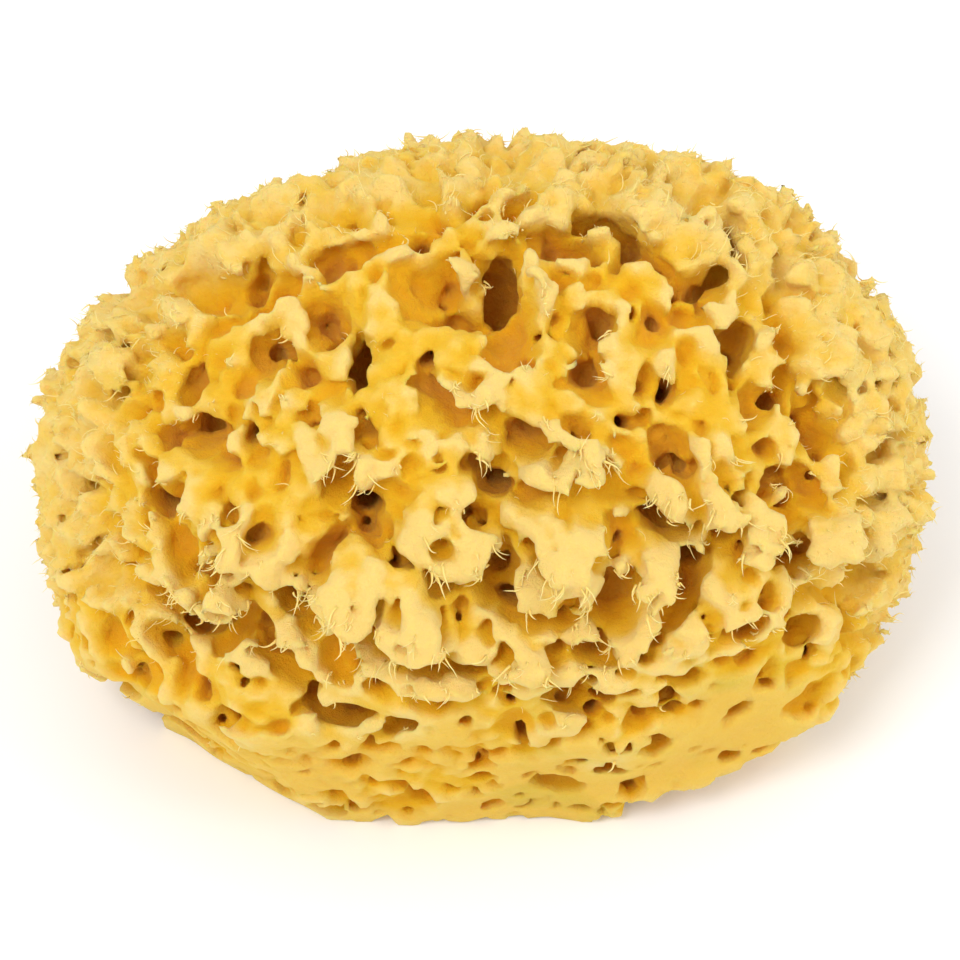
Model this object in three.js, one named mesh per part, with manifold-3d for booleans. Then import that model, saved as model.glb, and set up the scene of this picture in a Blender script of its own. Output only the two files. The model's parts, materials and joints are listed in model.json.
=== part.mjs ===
// A natural sea sponge of the honeycomb kind: one oval, domed skeleton, full of pores, that was cut off flat
// where it grew on the rock. Millimetres, +Z up. It rests on the cut, and the origin is the middle of its
// outer box at the height of the cut.
import * as THREE from "three";
import { mergeVertices } from "three/addons/utils/BufferGeometryUtils.js";
import Module from "manifold-3d";

const wasm = await Module();
wasm.setup();

// Driving dimensions. The show face is the bushy side, which looks forwards and up: `across` and `up` are
// measured along it from its middle, and `out` square to it.
const FACE_TILT = THREE.MathUtils.degToRad(52); // how far the show face looks up from the horizontal
const FRONT_DEPTH = 43; // from the widest section out to the show face
const BACK_DEPTH = 45; // from the widest section to the far side
const REST_DROP = 35; // from the body's middle down to the flat cut
// The oval outline of the show face
const RIM_LENGTH = 148;
const RIM_HEIGHT = 115;
const RIM_TURN = THREE.MathUtils.degToRad(6); // anticlockwise: the right-hand end is the higher one
const RIM_FULLNESS = 2.25; // 2 is an ellipse; more is boxier
const FULLNESS = 2.15; // the same, from the outline out to the show face and the far side
const BODY_DETAIL = 9;

// The knife trimmed the edge of the cut as well: each trim passes through a place and faces a way,
// both as [across, up, out]
const TRIMS = [
  { at: [40, -46, 9], faces: [0.34, -0.79, 0.52] },
  { at: [0, -54, 5], faces: [0, -0.88, 0.48] },
  { at: [-47, -43, 2], faces: [-0.5, -0.8, 0.25] },
];

// Lobes that jut from the show face and overhang it: [across, up, width, reach]
const LOBE_DROOP = 0.55; // how far a lobe leans down the face for each unit that it reaches out
const LOBE_SPREAD = 0.62; // half of its widest section, as a share of its width where it leaves the face
const LOBE_THICKNESS = 0.36; // half of its thickness, as a share of its width
const LOBE_LENGTH = 1.45; // half of its whole length, as a share of its reach
const LOBES = [
  [-19, 11, 12, 7], [0, 23, 10, 5], [13.5, 11, 11, 7], [-20, -6.5, 11, 7], [-5, 0, 13, 6],
  [-11, -12, 12, 7], [5.5, -18.5, 9, 6], [14, -1, 12, 6], [24, -5.5, 7, 5], [32.5, 6.5, 13, 6],
  [45, -1, 12, 6], [53, -5, 7, 7], [28.5, -17, 6, 4], [-41, -11.5, 12, 6], [-47, -18, 7, 7],
  [-36, -1, 12, 6], [-9, 32, 10, 4], [9, 32, 9, 4], [12.5, -35, 8, 4], [1, -37, 10, 5],
  [-7.5, -27, 8, 4], [-22.5, -21.5, 10, 3], [41, -20, 14, 4], [34, -37, 10, 4], [-36, -37, 10, 3],
];

// Pores of the show face: [across, up, width, height, depth]. The deep ones are the canals that water left
// by, and the wide shallow ones are hollows between the ridges.
const FACE_PORES = [
  [-10.5, 38, 4, 5, 12], [-37, 32, 5, 8, 10], [-30, 23, 6, 5, 9], [-18, 22.5, 8, 13, 18],
  [-4.5, 28, 4.5, 5, 12], [2, 32.5, 8, 12.5, 18], [-44, 11.5, 5.5, 5.5, 16], [-34.5, 10.5, 3.2, 3.5, 14],
  [-18.5, 1.5, 7.5, 5.5, 16], [-49.5, 0.5, 5, 4.5, 12], [-17.5, -12, 6, 5, 14], [-28, -11, 8, 8, 9],
  [-43, -9, 5, 3.5, 7], [-25.5, 18.5, 4.5, 5.5, 8], [22, 40, 3.5, 9, 11], [18, 27.5, 6, 6, 8],
  [36.5, 23, 6, 4.5, 16], [41, 24, 3.5, 8, 9], [27.5, 17.5, 3.5, 3.5, 15], [16, 20.5, 7, 6, 9],
  [20, 14.5, 3, 5, 12], [47, 14.5, 4, 6, 14], [52, 12.5, 6, 9, 8], [44.5, 3, 5, 4, 7],
  [27.5, 0.5, 8.5, 5, 8], [31, -6.5, 8.5, 7.5, 13], [49, -9, 12, 4.5, 10], [18, -11, 3, 3.5, 12],
  [0.5, -6, 3.5, 8, 14], [7, -14, 11, 3.5, 12], [2.5, 4, 6.5, 5, 11], [-43.5, -20, 9.5, 6, 12],
  [-37.5, -27, 3.5, 3.5, 7], [-26, -27.5, 6, 3.5, 7], [-27, -32, 3, 6, 12], [-22.5, -35, 5, 3.5, 9],
  [-39.5, -35, 3, 4, 9], [-12, -36.5, 3, 3, 10], [-2.5, -21, 3.5, 3.5, 12], [-48, -31.5, 4.5, 6, 4],
  [24, -20, 2.5, 2.5, 9], [27, -26.5, 2.5, 2.5, 9], [16.5, -25, 4.5, 3, 14], [19, -31, 4, 3, 10],
  [29, -32.5, 4, 3, 14], [36, -28.5, 2.5, 2.2, 8], [42, -29.5, 2.2, 2.4, 7], [3.5, -30.5, 2.5, 2.2, 9],
  [6.5, -38, 3, 3.5, 12], [17, -34.5, 2.7, 2.5, 9], [19.5, -41.5, 3, 3.5, 12], [47.5, -18.5, 3.5, 3.5, 6],
  [53, -25.5, 4, 4, 8], [59.5, -18, 4.5, 6, 5], [42, -37.5, 7, 6, 4], [10.5, -45.5, 11, 6.5, 5],
  [20.5, -47, 7, 3, 10], [-53.5, 27.5, 7, 5, 4], [-56, 19.5, 8, 5, 4], [-24.5, 36, 10.5, 6, 7],
  [39, 42.5, 7, 6.5, 5], [41, 35.5, 4.5, 5.5, 7], [49, 35.5, 3, 5.5, 6], [62, 21.5, 4.5, 5.5, 4],
  [-64, 0.5, 3.5, 4, 4], [-46, -40, 7, 3.5, 4], [-32.5, -45, 4.5, 2.5, 4], [-21, -47, 4, 2.5, 5],
  [-8.5, -45, 5, 8, 5], [10, 39, 4.5, 5, 6],
];

// Pores of the far side, set out along a spiral: their number, and the least and most width, depth, and
// height as a share of the width
const FAR_PORES = { count: 32, width: [6.5, 10.5], depth: [5, 11], stretch: [0.8, 1.3] };
const GOLDEN_ANGLE = Math.PI * (3 - Math.sqrt(5));
const PORE_SIDES = 6;
const SMALL_PORE_SIDES = 5;
const SMALL_PORE = 3.6; // width under which a pore has the fewer sides
const PORE_FLARE = 2.5; // how far a pore's tool stands out of the surface

const SPONGE_COLOUR = 0xe3b74c;

const lerp = THREE.MathUtils.lerp;

// The outline's radius at an angle round the show face
function rimRadius(angle) {
  const along = Math.abs(Math.cos(angle - RIM_TURN)) / (RIM_LENGTH / 2);
  const aside = Math.abs(Math.sin(angle - RIM_TURN)) / (RIM_HEIGHT / 2);
  return (along ** RIM_FULLNESS + aside ** RIM_FULLNESS) ** (-1 / RIM_FULLNESS);
}

// Soft swellings of the body: a share to add to the radius, for a direction from its middle
function swelling({ x, y, z }) {
  return 0.016 * Math.sin(7.1 * x + 2.3 * z + 0.6) * Math.cos(6.3 * y - 1.1)
    + 0.012 * Math.sin(11.7 * y + 9.1 * z + 2.2) * Math.cos(10.3 * x + 0.4);
}

// The point of the body's outside in a direction, both in the show face's own axes
function bodyPoint(direction) {
  const { x, y, z } = direction;
  const radius = rimRadius(Math.atan2(y, x));
  const size = (Math.hypot(x, y) ** FULLNESS + Math.abs(z) ** FULLNESS) ** (-1 / FULLNESS);
  const depth = z > 0 ? FRONT_DEPTH : BACK_DEPTH;
  const point = new THREE.Vector3(x * radius, y * radius, z * depth);
  return point.multiplyScalar(size * (1 + swelling(direction)));
}

// The way the body's outside faces at a point
function outwards(point) {
  const radius = rimRadius(Math.atan2(point.y, point.x));
  const depth = point.z > 0 ? FRONT_DEPTH : BACK_DEPTH;
  return new THREE.Vector3(point.x / radius ** 2, point.y / radius ** 2, point.z / depth ** 2).normalize();
}

// The point of the show face at a place across and up it
function facePoint(across, up) {
  const reach = Math.min(0.995, Math.hypot(across, up) / rimRadius(Math.atan2(up, across)));
  return new THREE.Vector3(across, up, FRONT_DEPTH * (1 - reach ** FULLNESS) ** (1 / FULLNESS));
}

// A closed three.js geometry as a solid that can be cut and joined
function solidOf(geometry, matrix = new THREE.Matrix4()) {
  const positions = new THREE.BufferGeometry().setAttribute("position", geometry.getAttribute("position"));
  positions.setIndex(geometry.index);
  const merged = mergeVertices(positions.applyMatrix4(matrix), 1e-3);
  const vertProperties = merged.getAttribute("position").array;
  const triVerts = new Uint32Array(merged.index.array);
  return new wasm.Manifold(new wasm.Mesh({ numProp: 3, vertProperties, triVerts }));
}

// A placement at a point with its +Y along `axis`, and its +X square to `axis`, as near across as it can be
function placement(point, axis) {
  const side = new THREE.Vector3(1, 0, 0).addScaledVector(axis, -axis.x);
  if (side.lengthSq() < 0.05) side.set(0, 1, 0).addScaledVector(axis, -axis.y);
  side.normalize();
  return new THREE.Matrix4().makeBasis(side, axis, side.clone().cross(axis)).setPosition(point);
}

function body() {
  const geometry = new THREE.IcosahedronGeometry(1, BODY_DETAIL);
  const positions = geometry.getAttribute("position");
  for (let i = 0; i < positions.count; i++) {
    const point = bodyPoint(new THREE.Vector3().fromBufferAttribute(positions, i));
    positions.setXYZ(i, point.x, point.y, point.z);
  }
  return solidOf(geometry);
}

// A lobe is a flattened egg that is half sunk in the body and leans down the face
function lobe([across, up, width, reach]) {
  const root = facePoint(across, up);
  const axis = outwards(root).add(new THREE.Vector3(0, -LOBE_DROOP, 0)).normalize();
  const length = reach * LOBE_LENGTH;
  const egg = new THREE.IcosahedronGeometry(1, 1).scale(width * LOBE_SPREAD, length, width * LOBE_THICKNESS);
  return solidOf(egg, placement(root.addScaledVector(axis, reach - length), axis));
}

// A pore is a blind, tapering hole with a rounded end
function pore(point, axis, width, height, depth) {
  const profile = [
    [0, -depth], [0.62, -depth * 0.82], [0.88, -depth * 0.35], [1.12, PORE_FLARE], [0, PORE_FLARE],
  ].map(([radius, level]) => new THREE.Vector2((radius * width) / 2, level));
  const sides = width < SMALL_PORE ? SMALL_PORE_SIDES : PORE_SIDES;
  const tool = new THREE.LatheGeometry(profile, sides).scale(1, 1, height / width);
  return solidOf(tool, placement(point, axis));
}

function facePore([across, up, width, height, depth]) {
  const mouth = facePoint(across, up);
  const straightIn = new THREE.Vector3(0, 0, 1.4);
  return pore(mouth, outwards(mouth).add(straightIn).normalize(), width, height, depth);
}

function farPores() {
  const { count, width, depth } = FAR_PORES;
  return Array.from({ length: count }, (_, i) => {
    const z = -lerp(0.12, 0.97, (i + 0.5) / count);
    const angle = i * GOLDEN_ANGLE;
    const ring = Math.sqrt(1 - z * z);
    const mouth = bodyPoint(new THREE.Vector3(ring * Math.cos(angle), ring * Math.sin(angle), z));
    const share = 0.5 + 0.5 * Math.sin(i * 2.4); // unlike neighbours, but the same each time
    const across = lerp(...width, share);
    const tall = across * lerp(...FAR_PORES.stretch, 1 - share);
    return pore(mouth, outwards(mouth), across, tall, lerp(...depth, 1 - share));
  });
}

// A block whose near side is a plane through `at` that faces `faces`: what lies beyond is cut away
function beyond(at, faces) {
  const axis = new THREE.Vector3(...faces).normalize();
  const size = 400;
  const block = new THREE.BoxGeometry(size, size, size).translate(0, size / 2, 0);
  return solidOf(block, placement(new THREE.Vector3(...at), axis));
}

function spongeGeometry() {
  const grown = wasm.Manifold.union([body(), ...LOBES.map(lobe)]);
  const holes = wasm.Manifold.union([...FACE_PORES.map(facePore), ...farPores()]);
  // Straight down, in the show face's axes
  const down = [0, -Math.cos(FACE_TILT), -Math.sin(FACE_TILT)];
  const restCut = beyond(down.map((v) => v * REST_DROP), down);
  const cuts = wasm.Manifold.union([restCut, ...TRIMS.map(({ at, faces }) => beyond(at, faces))]);
  const pieces = grown.subtract(holes).subtract(cuts).decompose();
  const whole = pieces.reduce((best, piece) => (piece.volume() > best.volume() ? piece : best));
  const mesh = whole.getMesh();

  const geometry = new THREE.BufferGeometry();
  geometry.setAttribute("position", new THREE.Float32BufferAttribute(mesh.vertProperties, 3));
  geometry.setIndex(new THREE.BufferAttribute(mesh.triVerts, 1));
  const across = new THREE.Vector3(1, 0, 0);
  const out = new THREE.Vector3(0, -Math.cos(FACE_TILT), Math.sin(FACE_TILT));
  geometry.applyMatrix4(new THREE.Matrix4().makeBasis(across, out.clone().cross(across), out));
  geometry.computeBoundingBox();
  const middle = geometry.boundingBox.getCenter(new THREE.Vector3());
  geometry.translate(-middle.x, -middle.y, -geometry.boundingBox.min.z);
  geometry.computeVertexNormals();
  return geometry;
}

const skeleton = new THREE.MeshStandardMaterial({ color: SPONGE_COLOUR, roughness: 0.9, metalness: 0 });
const sponge = new THREE.Mesh(spongeGeometry(), skeleton);
sponge.name = "sponge";

const part = new THREE.Group();
part.add(sponge);

export default part;
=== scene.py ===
import json
import math

import bpy
import numpy as np
import openvdb
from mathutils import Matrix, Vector

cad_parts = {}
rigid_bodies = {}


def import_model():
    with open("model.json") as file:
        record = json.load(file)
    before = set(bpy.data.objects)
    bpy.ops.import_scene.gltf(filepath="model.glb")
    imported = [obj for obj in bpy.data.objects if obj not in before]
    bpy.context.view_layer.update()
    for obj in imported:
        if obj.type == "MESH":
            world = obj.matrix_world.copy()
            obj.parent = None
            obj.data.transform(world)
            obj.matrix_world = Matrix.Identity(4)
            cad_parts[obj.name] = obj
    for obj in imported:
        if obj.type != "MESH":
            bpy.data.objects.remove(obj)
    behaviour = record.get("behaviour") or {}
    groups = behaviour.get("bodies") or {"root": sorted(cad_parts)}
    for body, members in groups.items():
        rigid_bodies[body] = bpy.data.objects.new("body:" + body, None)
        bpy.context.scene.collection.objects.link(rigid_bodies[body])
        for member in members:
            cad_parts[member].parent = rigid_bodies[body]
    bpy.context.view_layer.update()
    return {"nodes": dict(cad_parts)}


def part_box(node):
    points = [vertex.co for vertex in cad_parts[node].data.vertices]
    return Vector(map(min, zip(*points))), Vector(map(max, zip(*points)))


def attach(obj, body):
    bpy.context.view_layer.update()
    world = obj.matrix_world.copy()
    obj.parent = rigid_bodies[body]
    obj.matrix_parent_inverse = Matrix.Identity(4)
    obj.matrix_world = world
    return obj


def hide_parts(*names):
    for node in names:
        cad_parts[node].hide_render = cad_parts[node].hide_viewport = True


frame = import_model()
MM = 0.001


# ---------------------------------------------------------------------------------------------
# The studio: a plain pale floor, one soft light high on the left and a weaker one on the right.
# The camera looks square at the bushy show face, which leans back from the upright.
# ---------------------------------------------------------------------------------------------
sponge_low, sponge_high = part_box("sponge")
sponge_length = sponge_high.x - sponge_low.x

FACE_LEAN = math.radians(52)
FACE_OUT = Vector((0, -math.cos(FACE_LEAN), math.sin(FACE_LEAN)))
FACE_UP = Vector((0, math.sin(FACE_LEAN), math.cos(FACE_LEAN)))
VIEW_WIDTH = 1.092 * sponge_length
LENS = 100.0
SENSOR = 36.0
AIM_ASIDE = -0.0055  # of the sponge's length
AIM_HEIGHT = 0.402  # of its height

aim = Vector((AIM_ASIDE * sponge_length, 0, AIM_HEIGHT * sponge_high.z))
camera_data = bpy.data.cameras.new("camera")
camera_data.lens = LENS
camera_data.sensor_width = SENSOR
camera_data.clip_start = 0.01
camera = bpy.data.objects.new("camera", camera_data)
bpy.context.scene.collection.objects.link(camera)
camera.location = aim + FACE_OUT * (VIEW_WIDTH * LENS / SENSOR)
camera.rotation_euler = (-FACE_OUT).to_track_quat("-Z", "Y").to_euler()
bpy.context.scene.camera = camera

FLOOR_SIZE = 8
FLOOR_WHITE = (0.96, 0.96, 0.96, 1)
bpy.ops.object.select_all(action="DESELECT")
bpy.ops.mesh.primitive_plane_add(size=FLOOR_SIZE)
floor = bpy.context.object
floor.name = "floor"
floor_paint = bpy.data.materials.new("pale_floor")
floor_paint.use_nodes = True
floor_shader = floor_paint.node_tree.nodes["Principled BSDF"]
floor_shader.inputs["Base Color"].default_value = FLOOR_WHITE
floor_shader.inputs["Roughness"].default_value = 0.9
floor.data.materials.append(floor_paint)

WORLD_STRENGTH = 0.84
studio = bpy.data.worlds.new("studio")
studio.use_nodes = True
studio.node_tree.nodes["Background"].inputs["Color"].default_value = (1, 1, 1, 1)
studio.node_tree.nodes["Background"].inputs["Strength"].default_value = WORLD_STRENGTH
bpy.context.scene.world = studio
bpy.context.scene.view_settings.view_transform = "Standard"

# Each softbox: its name, where it stands in metres, its size in metres and its power in watts
SOFTBOXES = [
    ("key_light", (-0.3, -0.35, 0.8), 0.35, 3.2),
    ("fill_light", (0.6, -0.1, 0.5), 0.5, 1.4),
]
for name, place, size, power in SOFTBOXES:
    light = bpy.data.lights.new(name, "AREA")
    light.size = size
    light.energy = power
    softbox = bpy.data.objects.new(name, light)
    bpy.context.scene.collection.objects.link(softbox)
    softbox.location = place
    softbox.rotation_euler = (aim - Vector(place)).to_track_quat("-Z", "Y").to_euler()


# ---------------------------------------------------------------------------------------------
# The skeleton is one grown mass of soft horny fibre, full of round hollows that meet in thin ridges and
# peaks. It is carved in a block of voxels that each hold a distance in mm, less than 0 inside the
# sponge: the solid's own lobes and canals, then the hollows, then the peaks, and the knife's cuts last.
# ---------------------------------------------------------------------------------------------
VOXEL = 0.56  # mm, as are all the sizes and places up to the mesh
MARGIN = 9.0  # of empty voxels round the solid
UNDER_CUT = 14  # voxels below the cut
DEEP_BAND = 13.0  # how far inside the solid its distances are worked out
OUTER_BAND = 8.0  # and how far outside
chance = np.random.default_rng(20)

low = np.array(sponge_low) / MM - MARGIN
low[2] = -UNDER_CUT * VOXEL
shape = np.ceil((np.array(sponge_high) / MM + MARGIN - low) / VOXEL).astype(int) + 1
axes = [(low[i] + VOXEL * np.arange(shape[i])).astype(np.float32) for i in range(3)]
xs, ys, zs = np.meshgrid(*axes, indexing="ij", sparse=True)


def distance_field(points, triangles):
    """Each voxel's distance from a closed surface in mm, below 0 inside."""
    placed = ((points - low) / VOXEL).astype(np.float32)
    grid = openvdb.FloatGrid.createLevelSetFromPolygons(
        placed, triangles=triangles.astype(np.uint32), transform=openvdb.createLinearTransform(1.0),
        exBandWidth=OUTER_BAND / VOXEL, inBandWidth=DEEP_BAND / VOXEL)
    field = np.zeros(shape, np.float32)
    grid.copyToArray(field)
    return field * VOXEL


def surface_of(field):
    """The surface where a field is 0: its points in mm and its faces."""
    grid = openvdb.FloatGrid(float(field.max()))
    grid.copyFromArray(np.ascontiguousarray(field))
    points, quads = grid.convertToQuads(isovalue=0.0)
    return points * VOXEL + low, quads[:, ::-1]


def blurred(field, radius):
    """The field after three box blurs along each axis."""
    reach = max(1, round(radius / VOXEL))
    for axis in [0, 1, 2] * 3:
        before = np.repeat(np.take(field, [0], axis), reach + 1, axis)
        after = np.repeat(np.take(field, [-1], axis), reach, axis)
        total = np.cumsum(np.concatenate([before, field, after], axis), axis, dtype=np.float64)
        ends = np.take(total, np.arange(2 * reach + 1, 2 * reach + 1 + field.shape[axis]), axis)
        starts = np.take(total, np.arange(field.shape[axis]), axis)
        field = ((ends - starts) / (2 * reach + 1)).astype(np.float32)
    return field


def sampled(field, points):
    """The field's values at points in mm, read between its voxels."""
    place = ((points - low) / VOXEL).astype(np.float32)
    first = np.clip(place.astype(np.int32), 0, shape - 2)
    share = np.clip(place - first, 0, 1)
    start = (first[:, 0] * shape[1] + first[:, 1]) * shape[2] + first[:, 2]
    flat = field.reshape(-1)
    found = np.zeros(len(points), np.float32)
    for corner in np.ndindex(2, 2, 2):
        weight = 1
        step = 0
        for axis in range(3):
            weight = weight * (share[:, axis] if corner[axis] else 1 - share[:, axis])
            step = step * shape[axis] + corner[axis]
        found += weight * flat[start + step]
    return found


def unit(ways):
    """Directions made one long."""
    return ways / np.maximum(np.linalg.norm(ways, axis=-1, keepdims=True), 1e-6)


def slope_at(field, points):
    """The way a field rises at points in mm."""
    return unit(np.stack([sampled(part, points) for part in np.gradient(field, VOXEL)], 1))


def smooth_noise(size, seed):
    """Noise from about -1 to 1, in soft lumps of a size in mm, for every voxel."""
    dice = np.random.default_rng(seed)
    lumps = dice.uniform(-2, 2, [int(VOXEL * n / size) + 4 for n in shape]).astype(np.float32)
    for axis in range(3):
        place = np.arange(shape[axis]) * VOXEL / size
        first = place.astype(int)
        t = (place - first).astype(np.float32)
        spline = [(1 - t) ** 3, 3 * t**3 - 6 * t**2 + 4, -3 * t**3 + 3 * t**2 + 3 * t + 1, t**3]
        along = [-1 if k == axis else 1 for k in range(3)]
        lumps = sum(np.take(lumps, first + k, axis) * (w / 6).reshape(along) for k, w in enumerate(spline))
    return lumps


def eased(value, start, end):
    """0 before the start, 1 after the end and smooth between."""
    t = np.clip((value - start) / (end - start), 0, 1)
    return t * t * (3 - 2 * t)


def soft_least(a, b, blend):
    """The less of two fields, with a rounded join."""
    near = np.maximum(blend - np.abs(a - b), 0)
    return np.minimum(a, b) - near * near / (4 * blend)


def soft_most(a, b, blend):
    """The more of two fields, with a rounded edge."""
    return -soft_least(-a, -b, blend)


def around(centre, reach, ways):
    """The voxels near a point, and where they lie along three directions from it."""
    start = np.clip(np.floor((centre - reach - low) / VOXEL).astype(int), 0, shape - 1)
    stop = np.clip(np.ceil((centre + reach - low) / VOXEL).astype(int) + 1, 1, shape)
    window = tuple(slice(a, b) for a, b in zip(start, stop))
    dx, dy, dz = (axes[i][window[i]] - np.float32(centre[i]) for i in range(3))
    places = []
    for x, y, z in np.asarray(ways, np.float32):
        places.append(x * dx[:, None, None] + y * dy[None, :, None] + z * dz[None, None, :])
    return window, places


def sideways(axis, along):
    """Two directions square to an axis and to each other, the first as near another one as it can be."""
    side = unit(along - axis * (axis @ along))
    return side, np.cross(axis, side)


def hollow_out(field, centre, axis, along, wide, tall, deep, blend):
    """Cuts an egg-shaped hollow that is wide along one direction and tall across it."""
    side, other = sideways(axis, along)
    window, (u, v, w) = around(centre, max(wide, tall, deep) + blend, (side, other, axis))
    least = min(wide, tall, deep)
    egg = least - least * np.sqrt((u / wide) ** 2 + (v / tall) ** 2 + (w / deep) ** 2)
    field[window] = soft_most(field[window], egg, blend)


def raise_peak(field, foot, axis, wide, thick, long, blend):
    """Joins a flat, pointed tongue."""
    side, other = sideways(axis, chance.normal(0, 1, 3))
    window, (u, v, w) = around(foot, long + wide, (side, other, axis))
    taper = np.clip(1 - w / long, 0.0, 1.0) ** 0.8
    past = np.maximum(w - long, 0) + np.maximum(-w, 0)
    tongue = (np.sqrt((u / wide) ** 2 + (v / thick) ** 2) - taper) * thick + past
    field[window] = soft_least(field[window], tongue, blend)


# The solid's own shape, and the same shape with its lobes and canals smoothed away. It is mirrored
# below the cut, so that the cut's edge isn't rounded off.
solid = frame["nodes"]["sponge"].data
solid.calc_loop_triangles()
solid_points = np.array([v.co for v in solid.vertices]) / MM
solid_triangles = np.array([t.vertices for t in solid.loop_triangles])
body = distance_field(solid_points, solid_triangles)
uncut = body.copy()
uncut[:, :, :UNDER_CUT] = body[:, :, UNDER_CUT + 1:2 * UNDER_CUT + 1][:, :, ::-1]
SKIN_BLUR = 3.2
skin = blurred(uncut, SKIN_BLUR)

# Places are also told up the show face and out from it, from the body's middle
to_frame = np.array([(1, 0, 0), FACE_UP, FACE_OUT])
middle = np.array([-0.4, -1.6, 35.0])
up_by = (ys - middle[1]) * to_frame[1, 1] + (zs - middle[2]) * to_frame[1, 2]
out_by = (ys - middle[1]) * to_frame[2, 1] + (zs - middle[2]) * to_frame[2, 2]
HALF_LENGTH = 73
HALF_HEIGHT = 57
from_middle = np.sqrt((xs / HALF_LENGTH) ** 2 + (up_by / HALF_HEIGHT) ** 2)

# The knife trimmed the front edge three times before the flat cut: each trim's place and the way it
# faces, across and up the show face and out from it
TRIMS = [
    ((40, -46, 9), (0.34, -0.79, 0.52)),
    ((0, -54, 5), (0, -0.88, 0.48)),
    ((-47, -43, 2), (-0.5, -0.8, 0.25)),
]
trimmed = np.full(shape, -100, np.float32)
for at, faces in TRIMS:
    spot = middle + np.array(at) @ to_frame
    x, y, z = unit(np.array(faces) @ to_frame)
    past = (xs - spot[0]) * x + (ys - spot[1]) * y + (zs - spot[2]) * z
    trimmed = np.maximum(trimmed, past.astype(np.float32))

# Where each kind of growth is: shelves in the middle of the show face, felt round its rim, and a
# calmer foreland down to the cuts
SHELF_LENGTH = 64
SHELF_HEIGHT = 36
SHELF_DROP = 2
off_shelves = np.sqrt((xs / SHELF_LENGTH) ** 2 + ((up_by + SHELF_DROP) / SHELF_HEIGHT) ** 2)
shelves = eased(out_by, 14, 30) * eased(1 - off_shelves, 0, 0.4)
near_trim = eased(trimmed, -12, -4)
felted = eased(from_middle, 0.66, 0.88) * eased(out_by, -26, -6) * (1 - near_trim)
foreland = np.maximum(eased(-up_by, 20, 30) * eased(out_by, 8, 20), 0.6 * near_trim) * (1 - felted)
shelves, felted, foreland = (np.ascontiguousarray(np.broadcast_to(f, shape), np.float32)
                             for f in (shelves, felted, foreland))

# Swellings, and a ruffled edge that is drawn out square to the skin
NEAR_SKIN = 10
band = np.nonzero((np.abs(skin) < NEAR_SKIN).reshape(-1))[0]
where = (np.stack(np.unravel_index(band, shape), 1) * VOXEL + low).astype(np.float32)
rise = unit(np.stack([part.reshape(-1)[band] for part in np.gradient(skin, VOXEL)], 1))
foot = where - rise * skin.reshape(-1)[band][:, None]
ruffle = np.zeros_like(skin)
ruffle.reshape(-1)[band] = sampled(1.5 * smooth_noise(3.2, 6) + 1.0 * smooth_noise(1.6, 7), foot)
ruffle *= 1.0 + 0.1 * felted - 0.45 * shelves - 0.45 * foreland

# Round the rim the ruffles are flutes that run outwards: the noise is drawn out along them
FLUTE_START = 60
FLUTE_STRETCH = 0.22
FLUTE_DEPTH = 2.3
from_axis = where - middle
out_part = from_axis @ to_frame[2]
radial = from_axis - out_part[:, None] * to_frame[2]
reach = np.linalg.norm(radial, axis=1)
drawn = middle + unit(radial) * (FLUTE_START + FLUTE_STRETCH * (reach - FLUTE_START))[:, None]
drawn = drawn + (0.45 * out_part)[:, None] * to_frame[2]
crests = 0.75 - 1.9 * np.abs(sampled(smooth_noise(4.4, 21), drawn))
crests += 0.4 - 1.1 * np.abs(sampled(smooth_noise(2.0, 22), drawn))
ruffle.reshape(-1)[band] += FLUTE_DEPTH * felted.reshape(-1)[band] * crests

# Swellings of the whole body. The rim, the trims and the shelves start lower, because flutes, ridges
# and lobes stand on them.
RIM_SINK = 4.9
TRIM_SINK = 1.7
SHELF_SINK = 5.0
LOBE_GROWTH = 3.3
swell = 1.5 * smooth_noise(12.0, 1) + 1.0 * smooth_noise(6.0, 2)
swell = swell - RIM_SINK * felted - TRIM_SINK * near_trim - 0.6
swell -= 4.0 * eased(-0.8 * xs - 0.6 * up_by, 34, 54) + 1.4 * eased(np.abs(xs), 50, 72)
swell += shelves * (2.4 * smooth_noise(15.0, 4) + 2.0 * smooth_noise(8.0, 5) - SHELF_SINK)
lobes = body - LOBE_GROWTH * shelves + 1.5 * felted - 1.0 * smooth_noise(5.0, 9)
smooth_shape = soft_least(skin - swell, lobes, 2.0)
carved = smooth_shape - ruffle


def rimwards(places):
    """The way out from the show face's axis at places in mm."""
    away = places - middle
    return unit(away - to_frame[2] * (away @ to_frame[2])[:, None])


# Hollows, packed so that only ridges are left between them. Each size: the most and least radius in
# mm, how many places are tried, and how near two hollows may be as a share of their radii.
HOLLOWS = [
    (5.4, 3.9, 420, 0.98),
    (3.7, 2.4, 1500, 0.93),
    (2.4, 1.5, 4200, 0.96),
    (1.5, 0.9, 7000, 1.05),
]
CANAL_BEARING = 2.0  # the radius from which a hollow has canals in its floor
points = surface_of(smooth_shape)[0]
outwards = slope_at(blurred(smooth_shape, 1.5), points)
crown = rimwards(points)
lively = sampled(smooth_noise(16.0, 8), points)
bare = eased(sampled(smooth_noise(8.0, 10), points), 0.15, 0.6)
felt_share = sampled(felted, points)
fore_share = sampled(foreland, points)
shelf_share = sampled(shelves, points)
faces_out = eased((points - middle) @ to_frame[2], 0, 22)
on_cut = eased(sampled(trimmed, points), -2.5, -0.5)
on_lobe = eased(sampled(skin - body, points), 0.8, 2.4)
places = chance.permutation(np.nonzero(points[:, 2] > 0.5)[0])
mouths = np.zeros((0, 3))
radii = np.zeros(0)
spots = []
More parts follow.
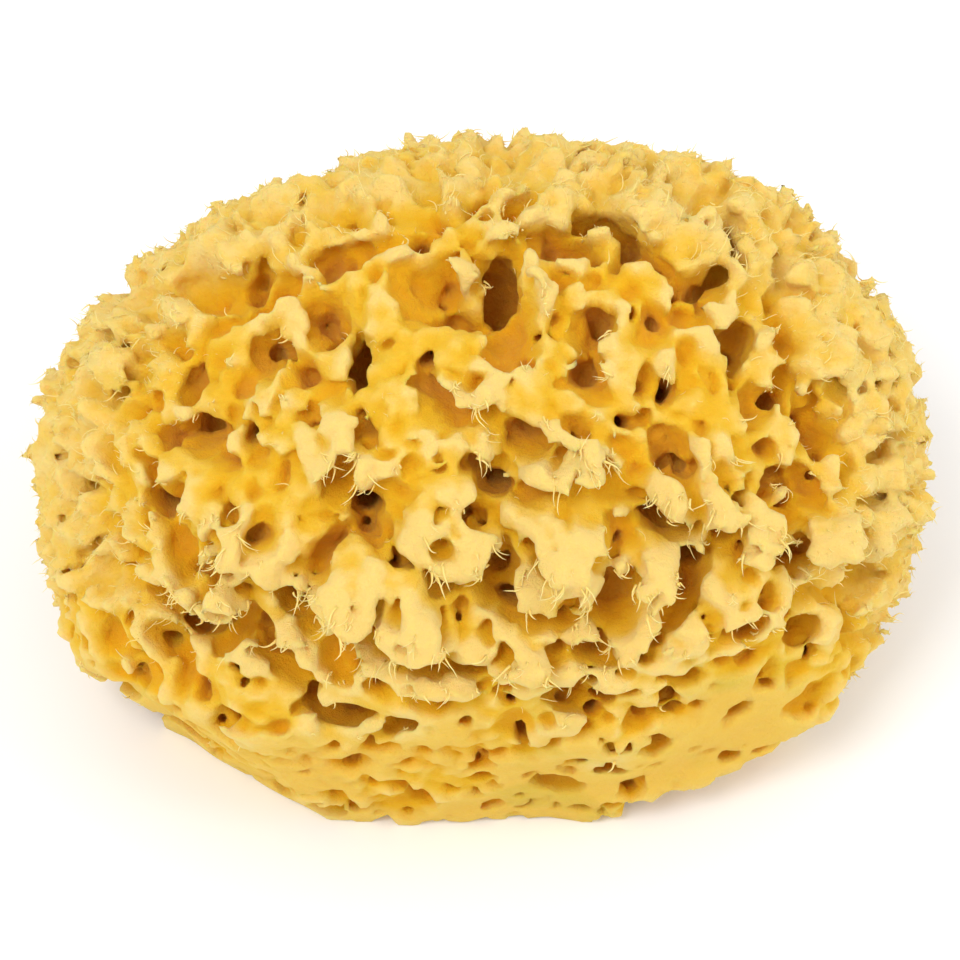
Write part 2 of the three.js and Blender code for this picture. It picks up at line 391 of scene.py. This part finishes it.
for biggest, smallest, tries, gap in HOLLOWS:
    for spot in chance.choice(places, tries):
        radius = chance.uniform(smallest, biggest) * (1 + 0.4 * lively[spot])
        calm = max((0.6 + 0.35 * (radius > 2.2)) * felt_share[spot], 0.45 * fore_share[spot],
                   0.92 * on_lobe[spot], 0.75 * bare[spot], 0.6 * on_cut[spot])
        small_calm = max(0.5 * fore_share[spot], 0.65 * on_cut[spot])
        if chance.random() < (calm if radius > 1.4 else small_calm):
            continue
        if (((mouths - points[spot]) ** 2).sum(1) < (gap * (radii + radius)) ** 2).any():
            continue
        spots.append(spot)
        mouths = np.vstack([mouths, points[spot]])
        radii = np.append(radii, radius)
for spot, radius in zip(spots, radii):
    felt, fore = felt_share[spot], fore_share[spot]
    way = unit(outwards[spot] + faces_out[spot] * to_frame[2] + chance.normal(0, 0.14, 3))
    shallow = 1 - 0.5 * felt - 0.45 * fore * (radius > 2.2)
    deep = radius * chance.uniform(1.1, 2.1) * shallow
    stretch = chance.uniform(1.0, 1.3) + 0.45 * felt
    sunk = chance.uniform(-0.1, 0.35) * radius * shallow
    mouth = points[spot] - outwards[spot] * sunk
    along = crown[spot] * 2.5 * felt + chance.normal(0, 1, 3)
    hollow_out(carved, mouth, way, along, radius * stretch, radius / stretch, deep, 0.9)
    # The narrow canals that open in a hollow's floor
    if radius > CANAL_BEARING and chance.random() < 0.8 - 0.6 * felt:
        for _ in range(chance.integers(1, 4) + round(2 * fore)):
            narrow = np.clip(chance.uniform(0.25, 0.45) * radius, 0.75, 1.6)
            floor_spot = mouth - outwards[spot] * deep + chance.normal(0, 0.42 * radius, 3)
            canal = unit(way + chance.normal(0, 0.25, 3))
            hollow_out(carved, floor_spot, canal, along, narrow, narrow, narrow * 2.8, 0.7)

# The solid's own deep canals, with their mouths opened through the swellings
under_skin = sampled(body, points - outwards * (sampled(skin, points) + 2.2)[:, None])
opened = np.zeros((0, 3))
for spot in np.argsort(-under_skin)[:np.count_nonzero(under_skin > 0.3)]:
    wide = min(0.55 + 1.1 * under_skin[spot], 4.2)
    if points[spot, 2] < 1 or (((opened - points[spot]) ** 2).sum(1) < (1.0 + 1.4 * wide) ** 2).any():
        continue
    opened = np.vstack([opened, points[spot]])
    mouth = points[spot] - outwards[spot] * 1.5
    way = unit(outwards[spot] + faces_out[spot] * to_frame[2])
    hollow_out(carved, mouth, way, chance.normal(0, 1, 3), wide * 1.1, wide, 5.5 - 2 * felt_share[spot], 0.5)
carved = soft_most(carved, np.minimum(body + 0.2, 1.5 * (body - skin) - 1.4), 0.9)

# Pointed tongues round the rim, and torn fingers that hang from the lobes
PEAK_SPACING = 2.8
FINGER_SPACING = 2.2
taken = set()
for spot in places:
    felt = felt_share[spot]
    hangs = on_lobe[spot] * shelf_share[spot] * (outwards[spot] @ to_frame[1] < 0.25)
    spacing = FINGER_SPACING if hangs > 0.4 else PEAK_SPACING
    cell = (spacing, *(points[spot] / spacing).astype(int))
    if cell in taken or chance.random() > max(0.3 + 0.7 * felt - 0.2 * fore_share[spot], 1.6 * hangs):
        continue
    taken.add(cell)
    if sampled(carved, points[spot][None] - outwards[spot] * 1.2)[0] > -0.3:
        continue
    way = outwards[spot] + (0.15 + 0.8 * felt) * crown[spot] - 1.1 * hangs * to_frame[1]
    way = unit(way + chance.normal(0, 0.24, 3))
    long = chance.uniform(2.2, 4.4) * (0.75 + 0.65 * felt + 0.9 * hangs)
    wide = chance.uniform(0.9, 1.9) + 0.9 * hangs - 0.3 * felt
    raise_peak(carved, points[spot] - way * 1.6, way, wide, wide * chance.uniform(0.4, 0.75), long, 1.6)

# The ridges of the shelves hang down the face, and everything is a little crooked and rough
hanging = np.clip(skin.reshape(-1)[band] + 5.0, 0, 14) * 0.8 * shelves.reshape(-1)[band]
source = where + hanging[:, None] * to_frame[1].astype(np.float32)
for axis in range(3):
    wander = 1.1 + 0.9 * shelves.reshape(-1)[band] - 0.5 * foreland.reshape(-1)[band]
    source[:, axis] += wander * smooth_noise(5.0, 13 + axis).reshape(-1)[band]
    source[:, axis] += 0.45 * smooth_noise(2.0, 16 + axis).reshape(-1)[band]
crooked = carved.copy()
crooked.reshape(-1)[band] = sampled(carved, source)
carved = crooked + (0.36 * smooth_noise(1.5, 11) + 0.32 * smooth_noise(0.9, 12)) * (1 - 0.4 * foreland)

# The knife's cuts. The trims wander a little, as a knife does in something soft.
trimmed = trimmed + 1.3 * smooth_noise(11.0, 23) + 0.8 * smooth_noise(5.0, 24) - 0.2
carved = np.maximum(np.maximum(carved, trimmed), -zs)

points, quads = surface_of(carved)
mesh = bpy.data.meshes.new("skeleton")
mesh.from_pydata((points * MM).tolist(), [], quads.tolist())
skeleton = bpy.data.objects.new("skeleton", mesh)
bpy.context.scene.collection.objects.link(skeleton)

# Only what hangs together with the top is kept
bpy.ops.object.select_all(action="DESELECT")
skeleton.select_set(True)
bpy.context.view_layer.objects.active = skeleton
bpy.ops.object.mode_set(mode="EDIT")
bpy.ops.mesh.select_mode(type="VERT")
bpy.ops.mesh.select_all(action="DESELECT")
bpy.ops.object.mode_set(mode="OBJECT")
mesh.vertices[int(points[:, 2].argmax())].select = True
bpy.ops.object.mode_set(mode="EDIT")
bpy.ops.mesh.select_linked()
bpy.ops.mesh.select_all(action="INVERT")
bpy.ops.mesh.delete(type="VERT")
bpy.ops.object.mode_set(mode="OBJECT")


def corners_in_mm():
    """Where the skeleton's corners are."""
    places = np.zeros(len(mesh.vertices) * 3, np.float32)
    mesh.vertices.foreach_get("co", places)
    return places.reshape(-1, 3) / MM


# The far side is thinned a little more than the show side
corners = corners_in_mm()
plain_side = skeleton.vertex_groups.new(name="plain_side")
on_plain_side = (corners - middle) @ to_frame[2] < -8
plain_side.add(np.nonzero(on_plain_side)[0].tolist(), 1.0, "REPLACE")
plain_side.add(np.nonzero(~on_plain_side)[0].tolist(), 0.5, "REPLACE")

MOST_TRIANGLES = 196000
thin = skeleton.modifiers.new("thin", "DECIMATE")
thin.vertex_group = "plain_side"
thin.vertex_group_factor = 0.0002
thin.ratio = min(1.0, MOST_TRIANGLES / (2 * len(mesh.polygons)))
bpy.ops.object.modifier_apply(modifier="thin")
skeleton.vertex_groups.clear()
bpy.ops.object.shade_smooth()

# How much skeleton is round each point, and how far it is below the skin
corners = corners_in_mm()
crowded = blurred(np.clip(0.5 - carved / VOXEL, 0, 1), 2.0)
enclosed = sampled(crowded, corners)
depth = -sampled(skin, corners)
mesh.attributes.new("enclosed", "FLOAT", "POINT").data.foreach_set("value", enclosed)
mesh.attributes.new("depth", "FLOAT", "POINT").data.foreach_set("value", depth)
rim_felt = sampled(felted, corners)
mesh.attributes.new("felted", "FLOAT", "POINT").data.foreach_set("value", rim_felt)
from_cut = -sampled(trimmed, corners)
mesh.attributes.new("from_cut", "FLOAT", "POINT").data.foreach_set("value", from_cut)


class Value:
    """A socket in a material: maths on it adds the nodes."""

    def __init__(self, tree, socket=None):
        self.tree = tree
        self.socket = socket

    def node(self, kind, settings, inputs, out=0):
        made = self.tree.nodes.new(kind)
        for name, setting in settings.items():
            if name == "stops":
                band = made.color_ramp
                for place, colour in setting[1:-1]:
                    band.elements.new(place)
                for stop, (place, colour) in zip(band.elements, setting):
                    stop.position = place
                    stop.color = (*colour, 1)
            else:
                setattr(made, name, setting)
        for name, value in inputs.items():
            if isinstance(value, Value):
                self.tree.links.new(value.socket, made.inputs[name])
            else:
                made.inputs[name].default_value = value
        return Value(self.tree, made.outputs[out])

    def math(self, operation, *values, clamp=False):
        settings = {"operation": operation, "use_clamp": clamp}
        return self.node("ShaderNodeMath", settings, dict(enumerate(values)))

    def __add__(self, other):
        return self.math("ADD", self, other)

    __radd__ = __add__

    def __sub__(self, other):
        return self.math("SUBTRACT", self, other)

    def __rsub__(self, other):
        return self.math("SUBTRACT", other, self)

    def __mul__(self, other):
        return self.math("MULTIPLY", self, other)

    __rmul__ = __mul__

    def feeds(self, socket):
        self.tree.links.new(self.socket, socket)


# Painted shade: pale where the fibre stands free, darkening to amber in the hollows and brown in the canals
HOLLOW_SHADE_COLOURS = [
    (0.0, (0.91, 0.66, 0.205)),
    (0.14, (0.88, 0.57, 0.085)),
    (0.25, (0.86, 0.52, 0.036)),
    (0.40, (0.84, 0.47, 0.014)),
    (0.64, (0.83, 0.41, 0.010)),
    (1.0, (0.74, 0.34, 0.030)),
]
CUT_COLOUR = (0.85, 0.60, 0.150, 1)
OLIVE_SHADOW = (0.50, 0.42, 0.03, 1)
horn = bpy.data.materials.new("horny_fibre")
horn.use_nodes = True
shader = horn.node_tree.nodes["Principled BSDF"]
graph = Value(horn.node_tree)
place = graph.node("ShaderNodeTexCoord", {}, {}, out=3)
enclosed_by = graph.node("ShaderNodeAttribute", {"attribute_name": "enclosed"}, {}, out=2)
below_skin = graph.node("ShaderNodeAttribute", {"attribute_name": "depth"}, {}, out=2)
in_felt = graph.node("ShaderNodeAttribute", {"attribute_name": "felted"}, {}, out=2)
cut_distance = graph.node("ShaderNodeAttribute", {"attribute_name": "from_cut"}, {}, out=2)
mottle = graph.node("ShaderNodeTexNoise", {}, {"Vector": place, "Scale": 110.0, "Detail": 4.0})
patches = graph.node("ShaderNodeTexNoise", {}, {"Vector": place, "Scale": 60.0, "Detail": 2.0})
# Painted shade: darker where more skeleton is round a point and the deeper it lies below the skin, much
# weaker on the rim felt
hollow = ((enclosed_by - 0.30) * 1.35 + (below_skin + 0.5) * 0.062) * (1.0 - 0.86 * in_felt)
specks = graph.node("ShaderNodeTexNoise", {}, {"Vector": place, "Scale": 420.0, "Detail": 3.0})
# More painted shade everywhere off the rim felt; the mottle and specks are the fibre's own uneven tone
shade = hollow + 0.04 + (1.0 - in_felt) * 0.11 + (mottle - 0.5) * 0.42 + (specks - 0.5) * 0.24
horny = graph.node("ShaderNodeValToRGB", {"stops": HOLLOW_SHADE_COLOURS}, {"Fac": shade})

# The knife's faces are smooth and pale, with olive patches of painted shadow along them
on_cut = graph.math("MULTIPLY", 1.6 - cut_distance, 1.2, clamp=True) * 0.45
near_cut = graph.math("MULTIPLY", 4.0 - cut_distance, 0.4, clamp=True)
# Olive patches of painted shadow, within 4 mm of the cuts
painted_shadow = near_cut * graph.math("MULTIPLY", patches - 0.58, 8.0, clamp=True) * 0.32
MIX_COLOURS = {"data_type": "RGBA"}
pale = graph.node("ShaderNodeMix", MIX_COLOURS, {0: on_cut, 6: horny, 7: CUT_COLOUR}, out=2)
colour = graph.node("ShaderNodeMix", MIX_COLOURS, {0: painted_shadow, 6: pale, 7: OLIVE_SHADOW}, out=2)
colour.feeds(shader.inputs["Base Color"])
grain = graph.node("ShaderNodeTexNoise", {}, {
    "Vector": place, "Scale": 750.0, "Detail": 6.0, "Roughness": 0.68})
bump = graph.node("ShaderNodeBump", {}, {"Strength": 0.8, "Distance": 1.1 * MM, "Height": grain})
bump.feeds(shader.inputs["Normal"])
shader.inputs["Roughness"].default_value = 0.85
shader.inputs["Specular IOR Level"].default_value = 0.1
shader.inputs["Subsurface Weight"].default_value = 0.5
shader.inputs["Subsurface Radius"].default_value = (1.0, 0.5, 0.15)
shader.inputs["Subsurface Scale"].default_value = 2.0 * MM
shader.inputs["Sheen Weight"].default_value = 0.05
mesh.materials.append(horn)

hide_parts("sponge")
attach(skeleton, "root")


# ---------------------------------------------------------------------------------------------
# Frayed fibres stand in tufts on the peaks and torn edges, where the skeleton was pulled from the
# water and rubbed. They are thin, curled and paler than the rest, most of all at their tips.
# ---------------------------------------------------------------------------------------------
TAPER = 0.85  # how much of a fibre's thickness is gone by its tip


def grown_fibres(name, roots, ways, turns, lengths, radii, steps, curl):
    """Thin, curled, three-sided fibres with pointed tips, in one mesh."""
    count = len(roots)
    point = roots
    way = ways
    rings = []
    for step in range(steps):
        side = unit(np.cross(way, turns))
        other = np.cross(way, side)
        thick = (radii * (1 - TAPER * step / steps))[:, None]
        for angle in (0, 2 * math.pi / 3, 4 * math.pi / 3):
            rings.append(point + (side * math.cos(angle) + other * math.sin(angle)) * thick)
        point = point + way * (lengths / steps)[:, None]
        way = unit(way + curl * (side + 0.5 * chance.normal(0, 1, (count, 3))))
    rings.append(point)
    corners = np.stack(rings, 1)
    corners[:, :, 2] = np.maximum(corners[:, :, 2], 0.0)
    each = corners.shape[1]
    faces = [(2, 1, 0)]
    for first in range(0, each - 4, 3):
        faces += [(first + k, first + (k + 1) % 3, first + 3 + (k + 1) % 3, first + 3 + k) for k in range(3)]
    faces += [(each - 4 + k, each - 4 + (k + 1) % 3, each - 1) for k in range(3)]
    all_faces = [tuple(each * fibre + k for k in face) for fibre in range(count) for face in faces]
    made = bpy.data.meshes.new(name)
    made.from_pydata((corners.reshape(-1, 3) * MM).tolist(), [], all_faces)
    along = np.tile(np.append(np.repeat(np.arange(steps) / steps, 3), 1.0), count)
    made.attributes.new("along", "FLOAT", "POINT").data.foreach_set("value", along.astype(np.float32))
    made.shade_smooth()
    piece = bpy.data.objects.new(name, made)
    bpy.context.scene.collection.objects.link(piece)
    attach(piece, "root")
    return piece


# A tuft's fibres share a way to stand and a way to curl
TUFT_SPACING = 3.5
MOST_FIBRES = 1500
standing = -slope_at(crowded, corners)
hung = sampled(shelves, corners)
sharp = (enclosed < 0.28) & (depth < 3.0) & (corners[:, 2] > 1.0)
droops = hung * (standing @ to_frame[1] < 0.1)
taken = set()
tufts = []
for spot in chance.permutation(np.nonzero(sharp)[0]):
    cell = tuple((corners[spot] / TUFT_SPACING).astype(int))
    if cell in taken or chance.random() > 0.04 + 0.62 * droops[spot]:
        continue
    taken.add(cell)
    tufts.append(spot)
tufts = np.array(tufts)
spread = np.repeat(np.arange(len(tufts)), chance.integers(2, 5, len(tufts)))[:MOST_FIBRES]
fibres = tufts[spread]
crown = rimwards(corners)
combed = 0.5 * rim_felt[tufts][:, None] * crown[tufts] - 0.9 * hung[tufts][:, None] * to_frame[1]
lean = unit(standing[tufts] + combed + chance.normal(0, 0.2, (len(tufts), 3)))
bend = chance.normal(0, 1, (len(tufts), 3))
ways = unit(lean[spread] + chance.normal(0, 0.3, (len(fibres), 3)))
turns = bend[spread] + chance.normal(0, 0.4, (len(fibres), 3))
roots = corners[fibres] + chance.normal(0, 0.35, (len(fibres), 3)) - ways * 0.8
lengths = (1.0 + 3.4 * chance.random(len(fibres)) ** 2) * (0.6 + 0.6 * hung[fibres])
radii = chance.uniform(0.13, 0.31, len(fibres))
frayed = grown_fibres("frayed_fibres", roots, ways, turns, lengths, radii, 6, 0.22)

FIBRE_COLOURS = [(0.0, (0.90, 0.65, 0.17)), (1.0, (0.99, 0.82, 0.36))]
fray = bpy.data.materials.new("frayed_fibre")
fray.use_nodes = True
shader = fray.node_tree.nodes["Principled BSDF"]
graph = Value(fray.node_tree)
towards_tip = graph.node("ShaderNodeAttribute", {"attribute_name": "along"}, {}, out=2)
paler = graph.node("ShaderNodeValToRGB", {"stops": FIBRE_COLOURS}, {"Fac": towards_tip})
paler.feeds(shader.inputs["Base Color"])
shader.inputs["Roughness"].default_value = 0.7
shader.inputs["Specular IOR Level"].default_value = 0.2
shader.inputs["Subsurface Weight"].default_value = 0.3
shader.inputs["Subsurface Radius"].default_value = (1.0, 0.7, 0.3)
shader.inputs["Subsurface Scale"].default_value = 0.25 * MM
frayed.data.materials.append(fray)


# ---------------------------------------------------------------------------------------------
# Felt: the skin's finest fibre. Short hairs lie close to it all round the rim, combed outwards, with
# longer and thicker wisps between them.
# ---------------------------------------------------------------------------------------------
outer = np.nonzero((enclosed < 0.50) & (depth < 3.5) & (corners[:, 2] > 0.5) & (from_cut > 2))[0]
likely = (0.04 + rim_felt[outer].clip(0, 1).astype(float)) * (0.3 + (depth[outer] < 1.5))

# Each kind of hair: its name, how many, the least and most length and radius, its steps and its curl
HAIRS = [
    ("rim_felt", 9000, (0.7, 1.6), (0.06, 0.11), 4, 0.45),
    ("rim_wisps", 1500, (1.6, 3.8), (0.11, 0.19), 7, 0.2),
]
for name, count, length, radius, steps, curl in HAIRS:
    hairs = chance.choice(outer, count, p=likely / likely.sum())
    flow = 0.9 * crown[hairs] + chance.normal(0, 0.3, (count, 3))
    up = standing[hairs]
    lying = unit(flow - up * (flow * up).sum(1)[:, None])
    ways = unit(lying + 0.18 * up)
    turns = chance.normal(0, 1, (count, 3))
    lengths = chance.uniform(*length, count)
    hair = grown_fibres(name, corners[hairs] - ways * 0.15, ways, turns, lengths,
                        chance.uniform(*radius, count), steps, curl)
    hair.data.materials.append(fray)
